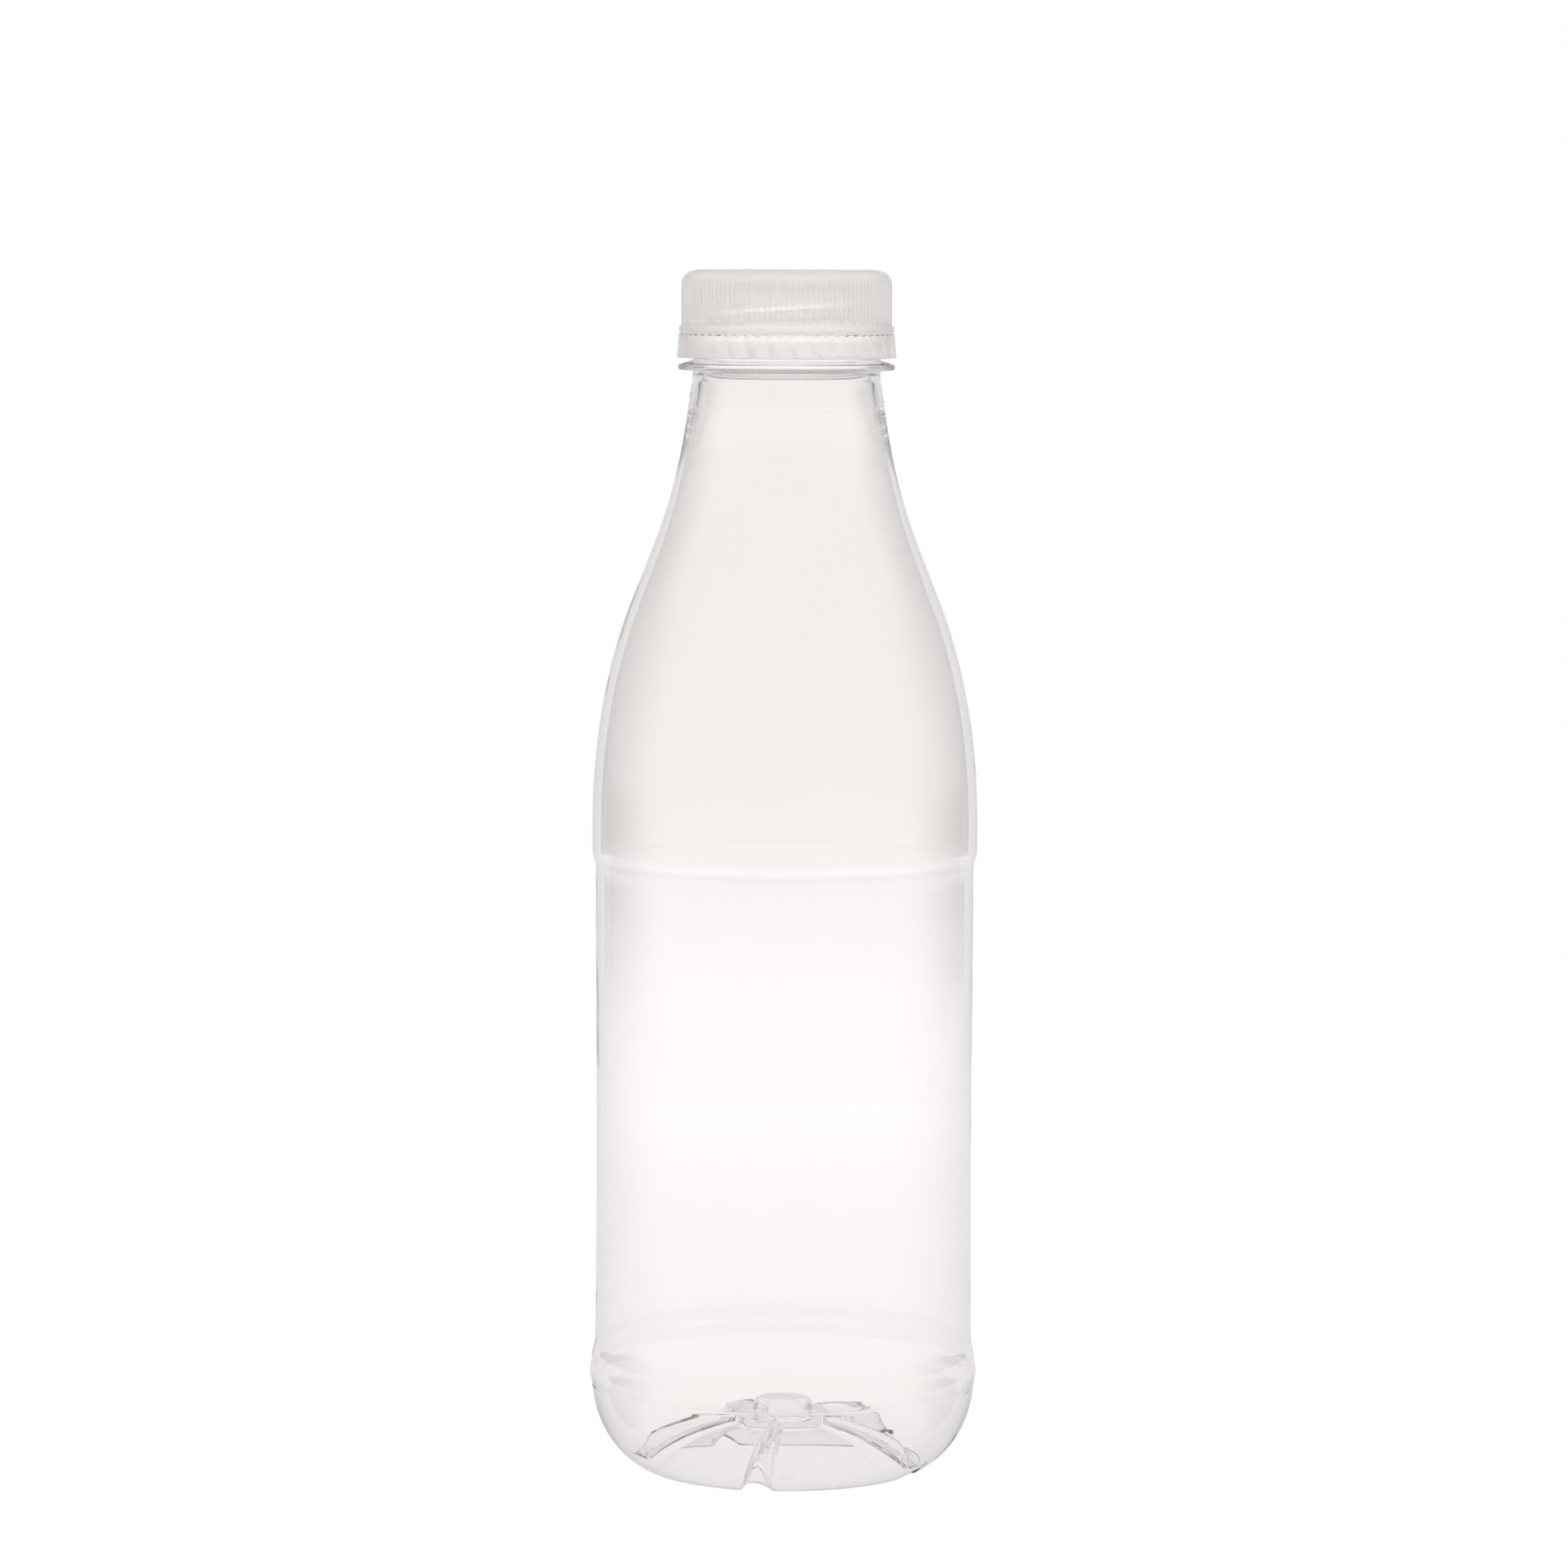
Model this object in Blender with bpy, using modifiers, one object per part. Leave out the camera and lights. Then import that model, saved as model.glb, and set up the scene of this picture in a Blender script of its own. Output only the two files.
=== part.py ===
"""A clear PET milk bottle for 750 ml, empty, with its translucent screw cap and tamper band."""

import math

import bmesh
import bpy
from mathutils import Vector

MM = 0.001
TURN = 2 * math.pi

# Driving dimensions, in millimetres, heights measured from the feet
TOTAL_HEIGHT = 233.6
BODY_RADIUS = 37.45
BASE_RADIUS = 37.85
FOOT_RADIUS = 27.1
WALL = 0.45
SIDES = 60

# Neck finish
MOUTH_Z = 231.8
BORE_RADIUS = 16.1
NECK_RADIUS = 17.5
LIP_CHAMFER = 0.4
BEAD_RADIUS = 18.95
BEAD_TOP_Z = 221.4
BEAD_Z = 220.1
BEAD_BOTTOM_Z = 219.4
BAND_SEAT_RADIUS = 17.8
RING_RADIUS = 20.95
RING_TOP_Z = 216.3
RING_TIP_Z = 215.3
RING_TIP_THICKNESS = 1.0
RING_BOTTOM_Z = 214.15
NECK_BELOW_RING = 18.15
NECK_FOOT_Z = 211.95
NECK_INNER_FOOT = (17.0, 211.1)

# Thread, three starts
THREAD_STARTS = 3
THREAD_LEAD = 7.5
THREAD_LOW_Z = 224.05
THREAD_SWEEP = 132.0
THREAD_STEP = 12.0
THREAD_FIRST_AZIMUTH = -176.0
THREAD_TIP_RADIUS = 18.5
THREAD_HALF_WIDTH = 0.65
THREAD_FADE = 4.0
THREAD_END_SHARE = 0.25
THREAD_ROOT_OVERLAP = 0.3
CAP_THREAD_TIP_RADIUS = 17.85
CAP_THREAD_TURN = 24.0

# Shoulder, body and base
SHOULDER_TOP = (18.35, 211.65)
UPPER_PULLS = ((21.1, 190.2), (23.7, 185.2))
UPPER_STEPS = 5
SHOULDER_MIDDLE = (29.85, 169.6)
LOWER_PULLS = ((35.15, 156.1), (BODY_RADIUS, 140.9))
LOWER_STEPS = 4
SHOULDER_FOOT_Z = 125.75
STEP_TOP_Z = 122.2
STEP_MIDDLE = (37.2, 119.6)
STEP_BOTTOM_Z = 117.9
PANEL_TOP_RADIUS = 36.75
PANEL_WAIST = (36.6, 59.1)
PANEL_FOOT = (36.75, 25.9)
BULGE_RISE = (37.25, 22.7)
BULGE_Z = 18.85
CREASE = (37.45, 16.7)
DOME_PULL = (36.5, 3.5)
DOME_STEPS = 5
FOOT_INNER_RADIUS = 25.85
UNDERSIDE_PULLS = ((22.8, 3.0), (15.1, 7.0))
UNDERSIDE_STEPS = 5
PETAL_TOP = (9.0, 7.6)
HUB_SHELF = (8.2, 9.65)
HUB_FLANK = (5.65, 10.25)
HUB_TOP = (4.65, 12.3)
HUB_WALL = 1.1
LEAST_MITRE = 0.7

# Five grooves under the base
GROOVES = 5
GROOVE_AZIMUTH = -100.5
GROOVE_START = (8.6, 9.8)
GROOVE_END = (31.3, 3.0)
GROOVE_ARCH = 2.3
GROOVE_INNER_HALF_WIDTH = 1.6
GROOVE_OUTER_HALF_WIDTH = 3.3
GROOVE_FLAT_SHARE = 0.3

# Cap
CAP_RADIUS = 20.35
CAP_CORNER = 3.2
CAP_BOTTOM_Z = 221.2
CAP_LEDGE_Z = 222.8
CAP_LEDGE_RADIUS = 20.8
CAP_INNER_RADIUS = 19.05
CAP_CEILING_Z = 232.3
KNURLS = 120
KNURL_DEPTH = 0.3
KNURL_TOP_Z = 231.25
KNURL_BOTTOM_Z = 223.25
PLUG_RADIUS = 15.6
PLUG_THICKNESS = 0.9
PLUG_BOTTOM_Z = 229.2

# Tamper band
BAND_TOP_RADIUS = 20.85
BAND_BOTTOM_RADIUS = 21.25
BAND_TOP_Z = 220.65
BAND_BOTTOM_Z = 216.6
BAND_ROUNDING = 0.35
BAND_THICKNESS = 0.8
BRIDGE_HEIGHT = 0.25
BRIDGES = 30
FLAPS = 30
FLAP_THICKNESS = 0.5
FLAP_REACH = 1.9
FLAP_HEIGHT = 1.9
FLAP_FOOT_Z = 217.0
FLAP_LEAN = 28.0

SHARP_ANGLE = 30.0


def clear_scene():
    """Empties the scene."""
    for obj in list(bpy.data.objects):
        bpy.data.objects.remove(obj, do_unlink=True)


def new_collection(name):
    """A collection linked to the scene."""
    collection = bpy.data.collections.new(name)
    bpy.context.scene.collection.children.link(collection)
    return collection


def plastic(name, colour, roughness, transmission):
    """A Principled material for a moulded plastic."""
    material = bpy.data.materials.new(name)
    material.use_nodes = True
    shader = material.node_tree.nodes["Principled BSDF"]
    shader.inputs["Base Color"].default_value = (*colour, 1.0)
    shader.inputs["Roughness"].default_value = roughness
    shader.inputs["Metallic"].default_value = 0.0
    shader.inputs["Transmission Weight"].default_value = transmission
    material.diffuse_color = (*colour, 1.0)
    return material


def bezier(start, pull_start, pull_end, end, steps):
    """The points after start of a cubic curve in the plane of radius and height."""
    points = []
    for step in range(1, steps + 1):
        t = step / steps
        weights = ((1 - t) ** 3, 3 * t * (1 - t) ** 2, 3 * t * t * (1 - t), t**3)
        corners = (start, pull_start, pull_end, end)
        radius = sum(w * p[0] for w, p in zip(weights, corners))
        height = sum(w * p[1] for w, p in zip(weights, corners))
        points.append((radius, height))
    return points


def inset(points, wall_at):
    """The line moved to its inner side by the wall's thickness at each point."""
    moved = []
    for index, point in enumerate(points):
        before = Vector(points[max(index - 1, 0)])
        after = Vector(points[min(index + 1, len(points) - 1)])
        into = (Vector(point) - before).normalized()
        out = (after - Vector(point)).normalized()
        along = (into + out).normalized()
        inward = Vector((along.y, -along.x))
        if point[0] == 0:
            inward = Vector((0, 1))
        corner = into if into.length else out
        mitre = max(abs(corner.dot(along)), LEAST_MITRE)
        moved.append(tuple(Vector(point) + inward * wall_at(point) / mitre))
    return moved


def turned(name, profile, collection, start_azimuth=0.0):
    """A solid of revolution about Z from a profile of (radius, height) in millimetres."""
    mesh = bpy.data.meshes.new(name)
    turn = math.radians(start_azimuth)
    points = [on_circle(r, turn, z) for r, z in profile]
    edges = [(i, i + 1) for i in range(len(points) - 1)]
    if profile[0][0] > 0:
        edges.append((len(points) - 1, 0))
    mesh.from_pydata(points, edges, [])
    obj = bpy.data.objects.new(name, mesh)
    collection.objects.link(obj)
    screw = obj.modifiers.new("Turn", "SCREW")
    screw.steps = SIDES
    screw.render_steps = SIDES
    screw.use_merge_vertices = True
    screw.merge_threshold = 0.00001
    screw.use_smooth_shade = True
    return obj


def apply_modifiers(obj):
    """Replaces the object's mesh by its evaluated one."""
    bpy.context.view_layer.update()
    evaluated = obj.evaluated_get(bpy.context.evaluated_depsgraph_get())
    mesh = bpy.data.meshes.new_from_object(evaluated)
    obj.modifiers.clear()
    obj.data = mesh


def unite(obj, helpers):
    """Joins the helpers' solids to the object and removes them."""
    boolean = obj.modifiers.new("Join", "BOOLEAN")
    boolean.operation = "UNION"
    boolean.operand_type = "COLLECTION"
    boolean.collection = helpers
    boolean.solver = "EXACT"
    apply_modifiers(obj)
    for helper in list(helpers.objects):
        bpy.data.objects.remove(helper, do_unlink=True)


def on_circle(radius, angle, height):
    """The point at an angle in radians on a circle round Z, from millimetres to metres."""
    return (radius * MM * math.cos(angle), radius * MM * math.sin(angle), height * MM)


def helical_ridge(name, root_radius, tip_radius, low_z, azimuth, collection):
    """One thread start: a ridge of trapezoid section that winds up round Z and fades at its ends."""
    bm = bmesh.new()
    steps = round(THREAD_SWEEP / THREAD_STEP)
    sections = []
    for step in range(steps + 1):
        share = step / steps
        angle = math.radians(azimuth + THREAD_SWEEP * share)
        z = low_z + THREAD_LEAD * THREAD_SWEEP / 360 * share
        fade = min(1.0, THREAD_END_SHARE + THREAD_FADE * min(share, 1 - share))
        tip = root_radius + (tip_radius - root_radius) * fade
        corners = (
            (root_radius, z + THREAD_HALF_WIDTH),
            (root_radius, z - THREAD_HALF_WIDTH),
            (tip, z - THREAD_HALF_WIDTH / 2),
            (tip, z + THREAD_HALF_WIDTH / 2),
        )
        sections.append([bm.verts.new(on_circle(r, angle, h)) for r, h in corners])
    for near, far in zip(sections, sections[1:]):
        for i in range(4):
            j = (i + 1) % 4
            bm.faces.new((near[i], near[j], far[j], far[i]))
    bm.faces.new(sections[0])
    bm.faces.new(sections[-1][::-1])
    return finished(bm, name, collection)


def finished(bm, name, collection):
    """Puts a bmesh with outward faces into a new object."""
    bmesh.ops.recalc_face_normals(bm, faces=bm.faces)
    mesh = bpy.data.meshes.new(name)
    bm.to_mesh(mesh)
    bm.free()
    obj = bpy.data.objects.new(name, mesh)
    collection.objects.link(obj)
    return obj


def shell_line():
    """The blown wall's outer line, from under the neck down to the centre of the base."""
    top = SHOULDER_TOP
    middle = SHOULDER_MIDDLE
    foot = (BODY_RADIUS, SHOULDER_FOOT_Z)
    line = [top]
    line += bezier(top, *UPPER_PULLS, middle, UPPER_STEPS)
    line += bezier(middle, *LOWER_PULLS, foot, LOWER_STEPS)
    line += [(BODY_RADIUS, STEP_TOP_Z), STEP_MIDDLE]
    line += [(PANEL_TOP_RADIUS, STEP_BOTTOM_Z), PANEL_WAIST, PANEL_FOOT]
    line += [BULGE_RISE, (BASE_RADIUS, BULGE_Z), CREASE]
    foot_edge = (FOOT_RADIUS, 0.0)
    line += bezier(CREASE, DOME_PULL, foot_edge, foot_edge, DOME_STEPS)
    line += underside_line()
    return line


def underside_line():
    """The base from the foot ring's inner edge up to the raised hub."""
    line = [(FOOT_INNER_RADIUS, 0.0)]
    line += bezier(line[0], *UNDERSIDE_PULLS, PETAL_TOP, UNDERSIDE_STEPS)
    line += [HUB_SHELF, HUB_FLANK, HUB_TOP, (0.0, HUB_TOP[1])]
    return line


def wall_at(point):
    """The wall is thin in the blown body and thicker in the hub, where the plastic isn't stretched."""
    radius, height = point
    if height > 20 or radius > FOOT_RADIUS:
        return WALL
    return HUB_WALL + (WALL - HUB_WALL) * radius / FOOT_RADIUS


def neck_line():
    """The neck finish from the bore over the lip and down the outside."""
    return [
        (BORE_RADIUS, RING_TOP_Z),
        (BORE_RADIUS, MOUTH_Z - LIP_CHAMFER),
        (BORE_RADIUS + LIP_CHAMFER, MOUTH_Z),
        (NECK_RADIUS - LIP_CHAMFER, MOUTH_Z),
        (NECK_RADIUS, MOUTH_Z - LIP_CHAMFER),
        (NECK_RADIUS, BEAD_TOP_Z),
        (BEAD_RADIUS, BEAD_Z),
        (BEAD_RADIUS, BEAD_BOTTOM_Z),
        (BAND_SEAT_RADIUS, BEAD_BOTTOM_Z),
        (BAND_SEAT_RADIUS, RING_TOP_Z),
        (RING_RADIUS, RING_TIP_Z),
        (RING_RADIUS, RING_TIP_Z - RING_TIP_THICKNESS),
        (NECK_BELOW_RING, RING_BOTTOM_Z),
        (NECK_BELOW_RING, NECK_FOOT_Z),
    ]


def groove_lift(point, azimuth):
    """How far the base rises at a place on its outer line to leave the radial grooves."""
    radius, height = point
    inner, outer = GROOVE_START[0], GROOVE_END[0]
    if not inner < radius < outer:
        return 0.0
    share = (radius - inner) / (outer - inner)
    roof = GROOVE_START[1] + (GROOVE_END[1] - GROOVE_START[1]) * share**GROOVE_ARCH
    half_width = GROOVE_INNER_HALF_WIDTH + (GROOVE_OUTER_HALF_WIDTH - GROOVE_INNER_HALF_WIDTH) * share
    pitch = 360 / GROOVES
    away = (azimuth - GROOVE_AZIMUTH + pitch / 2) % pitch - pitch / 2
    across = abs(radius * math.radians(away)) / half_width
    side = min(max((1 - across) / (1 - GROOVE_FLAT_SHARE), 0.0), 1.0)
    side = side * side * (3 - 2 * side)
    return max(roof - height, 0.0) * side


def press_grooves(mesh, outside, inside):
    """Lifts the base into the grooves, the inner side of the wall as much as its outer side."""
    rows = [row for row in zip(outside, inside) if row[0][1] < CREASE[1]]
    for vertex in mesh.vertices:
        place = (math.hypot(vertex.co.x, vertex.co.y) / MM, vertex.co.z / MM)
        if place[1] > CREASE[1]:
            continue
        outer_point = min(rows, key=lambda row: min(math.dist(place, side) for side in row))[0]
        azimuth = math.degrees(math.atan2(vertex.co.y, vertex.co.x))
        vertex.co.z += groove_lift(outer_point, azimuth) * MM
    split_quads(mesh)


def split_quads(mesh):
    """Cuts each quad of the base along its higher diagonal, so both sides of the wall bend alike."""
    bm = bmesh.new()
    bm.from_mesh(mesh)
    crease_z = CREASE[1] * MM
    quads = [face for face in bm.faces if len(face.verts) == 4]
    for face in [face for face in quads if face.calc_center_median().z < crease_z]:
        a, b, c, d = face.verts
        rise = (a.co.z + c.co.z) - (b.co.z + d.co.z)
        ends = (a, c) if rise > 0 else (b, d)
        bmesh.utils.face_split(face, *ends)
    bm.to_mesh(mesh)
    bm.free()


def make_bottle(collection):
    """The bottle: one closed wall, outside and inside, with the thread joined to its neck."""
    outside = shell_line()
    inside = inset(outside, wall_at)
    profile = inside[:0:-1] + [NECK_INNER_FOOT] + neck_line() + outside
    bottle = turned("bottle", profile, collection, GROOVE_AZIMUTH % (360 / SIDES))
    apply_modifiers(bottle)
    press_grooves(bottle.data, outside, inside)
    helpers = new_collection("bottle helpers")
    for start in range(THREAD_STARTS):
        azimuth = THREAD_FIRST_AZIMUTH + start * 360 / THREAD_STARTS
        helical_ridge(
            f"neck_thread_{start}",
            NECK_RADIUS - THREAD_ROOT_OVERLAP,
            THREAD_TIP_RADIUS,
            THREAD_LOW_Z,
            azimuth,
            helpers,
        )
    unite(bottle, helpers)
    bpy.data.collections.remove(helpers)
    return bottle


def ring(bm, radius, z, count, knurled=False):
    """A ring of vertices; a knurled one steps in at every other point."""
    verts = []
    for i in range(count):
        angle = TURN * i / count
        r = radius - KNURL_DEPTH * (i % 2) if knurled else radius
        verts.append(bm.verts.new(on_circle(r, angle, z)))
    return verts


def bridge(bm, upper, lower):
    """Faces between two rings, one of which may have several times as many points."""
    if len(upper) == len(lower):
        for i in range(len(upper)):
            j = (i + 1) % len(upper)
            bm.faces.new((upper[i], lower[i], lower[j], upper[j]))
        return
    coarse, fine = (upper, lower) if len(upper) < len(lower) else (lower, upper)
    ratio = len(fine) // len(coarse)
    for i in range(len(coarse)):
        here, there = coarse[i], coarse[(i + 1) % len(coarse)]
        for k in range(ratio):
            near = fine[(i * ratio + k) % len(fine)]
            far = fine[(i * ratio + k + 1) % len(fine)]
            bm.faces.new((here if k < ratio // 2 else there, near, far))
        bm.faces.new((here, fine[i * ratio + ratio // 2], there))


def make_cap(collection):
    """The screw cap: knurled skirt, flat top, plug seal and inner thread."""
    bm = bmesh.new()
    corner = CAP_CORNER * (1 - math.sqrt(0.5))
    rings = [
        ring(bm, CAP_RADIUS - CAP_CORNER, TOTAL_HEIGHT, SIDES),
        ring(bm, CAP_RADIUS - corner, TOTAL_HEIGHT - corner, SIDES),
        ring(bm, CAP_RADIUS, KNURL_TOP_Z, 2 * KNURLS, knurled=True),
        ring(bm, CAP_RADIUS, KNURL_BOTTOM_Z, 2 * KNURLS, knurled=True),
        ring(bm, CAP_LEDGE_RADIUS, CAP_LEDGE_Z, SIDES),
        ring(bm, CAP_LEDGE_RADIUS, CAP_BOTTOM_Z, SIDES),
        ring(bm, CAP_INNER_RADIUS, CAP_BOTTOM_Z, SIDES),
        ring(bm, CAP_INNER_RADIUS, CAP_CEILING_Z, SIDES),
        ring(bm, PLUG_RADIUS, CAP_CEILING_Z, SIDES),
        ring(bm, PLUG_RADIUS, PLUG_BOTTOM_Z, SIDES),
        ring(bm, PLUG_RADIUS - PLUG_THICKNESS, PLUG_BOTTOM_Z, SIDES),
        ring(bm, PLUG_RADIUS - PLUG_THICKNESS, CAP_CEILING_Z, SIDES),
    ]
    for upper, lower in zip(rings, rings[1:]):
        bridge(bm, upper, lower)
    bm.faces.new(rings[0])
    bm.faces.new(rings[-1])
    cap = finished(bm, "cap", collection)
    helpers = new_collection("cap helpers")
    for start in range(THREAD_STARTS):
        azimuth = THREAD_FIRST_AZIMUTH + CAP_THREAD_TURN + start * 360 / THREAD_STARTS
        low_z = THREAD_LOW_Z + THREAD_LEAD * (CAP_THREAD_TURN / 360 - 0.5 / THREAD_STARTS)
        helical_ridge(
            f"cap_thread_{start}",
            CAP_INNER_RADIUS + THREAD_ROOT_OVERLAP,
            CAP_THREAD_TIP_RADIUS,
            low_z,
            azimuth,
            helpers,
        )
    unite(cap, helpers)
    bpy.data.collections.remove(helpers)
    return cap


def make_flap(index, collection):
    """One retaining flap: a thin blade on the band's inner wall that leans to one side."""
    bm = bmesh.new()
    bmesh.ops.create_cube(bm, size=1.0)
    size = Vector((FLAP_REACH, FLAP_THICKNESS, FLAP_HEIGHT)) * MM
    bmesh.ops.scale(bm, vec=size, verts=bm.verts)
    lean = math.tan(math.radians(FLAP_LEAN))
    radius = (BAND_BOTTOM_RADIUS - BAND_THICKNESS / 2 - FLAP_REACH / 2) * MM
    angle = TURN * (index + 0.5) / FLAPS
    for vertex in bm.verts:
        x = vertex.co.x + radius
        y = vertex.co.y - vertex.co.z * lean
        z = vertex.co.z + (FLAP_FOOT_Z + FLAP_HEIGHT / 2) * MM
        vertex.co = Vector(
            (x * math.cos(angle) - y * math.sin(angle), x * math.sin(angle) + y * math.cos(angle), z)
        )
    return finished(bm, f"flap_{index}", collection)


def raise_bridges(mesh):
    """Extrudes short bridges from the band's top edge, where it hangs on the cap."""
    bm = bmesh.new()
    bm.from_mesh(mesh)
    highest = max(face.calc_center_median().z for face in bm.faces)
    tops = [face for face in bm.faces if math.isclose(face.calc_center_median().z, highest, rel_tol=1e-6)]
    tops.sort(key=lambda face: math.atan2(face.calc_center_median().y, face.calc_center_median().x))
    every = SIDES // BRIDGES
    made = bmesh.ops.extrude_discrete_faces(bm, faces=tops[::every])
    corners = {vertex for face in made["faces"] for vertex in face.verts}
    bmesh.ops.translate(bm, verts=list(corners), vec=(0, 0, BRIDGE_HEIGHT * MM))
    bm.to_mesh(mesh)
    bm.free()


def make_band(collection):
    """The tamper band: a flared ring with bridges on top and flaps inside."""
    profile = [
        (BAND_TOP_RADIUS, BAND_TOP_Z),
        (BAND_BOTTOM_RADIUS, BAND_BOTTOM_Z + BAND_ROUNDING),
        (BAND_BOTTOM_RADIUS - BAND_ROUNDING, BAND_BOTTOM_Z),
        (BAND_BOTTOM_RADIUS - BAND_THICKNESS, BAND_BOTTOM_Z),
        (BAND_TOP_RADIUS - BAND_THICKNESS, BAND_TOP_Z),
    ]
    band = turned("tamper_band", profile, collection)
    apply_modifiers(band)
    raise_bridges(band.data)
    helpers = new_collection("band helpers")
    for index in range(FLAPS):
        make_flap(index, helpers)
    unite(band, helpers)
    bpy.data.collections.remove(helpers)
    return band


def dress(obj, material):
    """Gives a finished object its material and smooth shading with sharp edges kept."""
    obj.data.materials.clear()
    obj.data.materials.append(material)
    obj.data.shade_smooth()
    obj.data.set_sharp_from_angle(angle=math.radians(SHARP_ANGLE))


def main():
    clear_scene()
    parts = new_collection("milk_bottle")
    pet = plastic("clear_pet", (0.95, 0.95, 0.96), 0.05, 1.0)
    closure = plastic("natural_closure", (0.86, 0.85, 0.84), 0.4, 0.4)
    dress(make_bottle(parts), pet)
    dress(make_cap(parts), closure)
    dress(make_band(parts), closure)


main()
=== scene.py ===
import math

import bpy
import numpy as np
from mathutils import Matrix


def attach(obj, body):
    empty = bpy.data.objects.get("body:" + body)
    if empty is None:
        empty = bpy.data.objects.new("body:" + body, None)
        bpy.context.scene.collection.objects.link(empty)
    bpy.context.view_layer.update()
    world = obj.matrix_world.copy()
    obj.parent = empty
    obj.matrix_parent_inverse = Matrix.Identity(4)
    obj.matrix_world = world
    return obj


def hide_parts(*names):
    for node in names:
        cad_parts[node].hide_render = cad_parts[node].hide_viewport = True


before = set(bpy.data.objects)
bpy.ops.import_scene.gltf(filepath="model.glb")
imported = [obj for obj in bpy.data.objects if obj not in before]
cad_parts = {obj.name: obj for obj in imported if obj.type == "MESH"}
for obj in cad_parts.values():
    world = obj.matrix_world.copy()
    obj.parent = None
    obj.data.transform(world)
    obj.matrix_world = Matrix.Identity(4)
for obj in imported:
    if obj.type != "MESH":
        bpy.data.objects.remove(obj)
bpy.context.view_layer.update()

MM = 0.001
TINY = 1e-6

# Sizes of the pieces in millimetres, with heights measured from the feet. A point is
# (radius, height), and each curve has two points that pull it, one from each end
TOTAL_HEIGHT = 233.6
BODY_RADIUS = 37.45
BASE_RADIUS = 37.83
FOOT_RADIUS = 27.1
FOOT_INNER_RADIUS = 25.85
WALL = 0.45
HUB_WALL = 1.1
BASE_ZONE_TOP_Z = 20.0
NECK_WALL = 1.75
NECK_WALL_GROWTH = 1.3
THIN_WALL_TOP_Z = 192.0
THICK_WALL_Z = 213.0

MOUTH_Z = 231.8
BORE_RADIUS = 16.1
NECK_RADIUS = 17.5
BEAD_RADIUS = 18.95
BEAD_TOP_Z = 221.4
BEAD_Z = 220.1
BEAD_BOTTOM_Z = 219.4
BAND_SEAT_RADIUS = 17.8
RING_RADIUS = 20.95
RING_TOP_Z = 216.3
RING_TIP_Z = 215.3
RING_TIP_THICKNESS = 1.0
RING_BOTTOM_Z = 214.15
NECK_BELOW_RING = 18.15
NECK_FOOT_Z = 212.15
THROAT_PULLS = ((16.45, 212.3), (BORE_RADIUS, 213.4))
THROAT_TOP_Z = 216.8
INNER_WALL_TOP_Z = 211.05
NECK_LINE_Z = 207.5
NECK_LINE_WIDTH = 0.4
NECK_LINE_HEIGHT = 0.05
NECK_LINE_ZONE = 1.5

THREAD_STARTS = 3
THREAD_LEAD = 7.5
THREAD_LOW_Z = 224.05
THREAD_SWEEP = 132.0
THREAD_TOP_Z = 230.9
THREAD_BOTTOM_Z = 221.9
THREAD_FIRST_AZIMUTH = -176.0
THREAD_TIP_RADIUS = 18.5
THREAD_HALF_WIDTH = 0.65
CAP_THREAD_TIP_RADIUS = 17.85
CAP_THREAD_TURN = 24.0

SHOULDER_TOP = (18.35, 211.65)
UPPER_PULLS = ((21.1, 190.2), (23.7, 185.2))
SHOULDER_MIDDLE = (29.85, 169.6)
LOWER_PULLS = ((35.15, 156.1), (BODY_RADIUS, 140.9))
SHOULDER_FOOT = (BODY_RADIUS, 125.75)
STEP_TOP = (BODY_RADIUS, 121.6)
STEP_PULLS = ((BODY_RADIUS, 119.7), (36.8, 119.3))
STEP_BOTTOM = (36.75, 117.9)
PANEL = ((36.71, 108.0), (36.63, 84.0), (36.59, 60.0), (36.66, 40.0), (36.76, 27.0))
BULGE = (
    (36.83, 25.0),
    (37.0, 24.0),
    (37.32, 22.8),
    (37.5, 21.0),
    (37.74, 19.6),
    (BASE_RADIUS, 18.85),
    (37.7, 17.8),
)
CREASE = (37.45, 16.7)
CREASE_DEPTH = 0.03
CREASE_HALF_WIDTH = 0.4
CREASE_ZONE = 1.0
DOME_PULL = (36.5, 3.5)
UNDERSIDE_PULLS = ((22.8, 3.0), (15.1, 7.0))
PETAL_TOP = (9.0, 7.6)
HUB = ((8.2, 9.65), (5.65, 10.25), (4.65, 12.3))
BASE_ROUNDING = 0.5
FOOT_ROUNDING = 0.4
FOOT_INNER_EDGE = (24.9, 0.9)

GROOVES = 5
GROOVE_AZIMUTH = -100.5
GROOVE_START = (8.6, 9.8)
GROOVE_END = (31.8, 2.8)
GROOVE_ARCH = 2.3
GROOVE_INNER_HALF_WIDTH = 1.6
GROOVE_OUTER_HALF_WIDTH = 3.9
GROOVE_FLAT_SHARE = 0.06
GROOVE_ROUND_FROM = 0.7

CAP_RADIUS = 20.35
CAP_CORNER = 4.1
CAP_BOTTOM_Z = 221.2
CAP_LEDGE_Z = 222.8
CAP_LEDGE_DROP = 0.1
CAP_LEDGE_RADIUS = 20.79
CAP_INNER_RADIUS = 19.05
CAP_CEILING_Z = 232.3
CAP_INNER_THREAD_Z = (222.2, 231.3)
KNURLS = 120
KNURL_DEPTH = 0.3
KNURLS_TOP_Z = 231.75
KNURLS_FOOT_Z = 223.0
KNURL_SHARPNESS = 1.5
KNURL_REACH_IN = 1.2
KNURL_TOP_FADE = 1.2
KNURL_FOOT_FADE = 0.5
CORNER_FOOT_Z = 227.25
SKIRT_FOOT_Z = 223.05
LEDGE_GROOVE = ((20.79, 221.75), (20.61, 221.6), (20.74, 221.45))
PLUG_RADIUS = 15.6
PLUG_THICKNESS = 0.9
PLUG_BOTTOM_Z = 229.2

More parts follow.
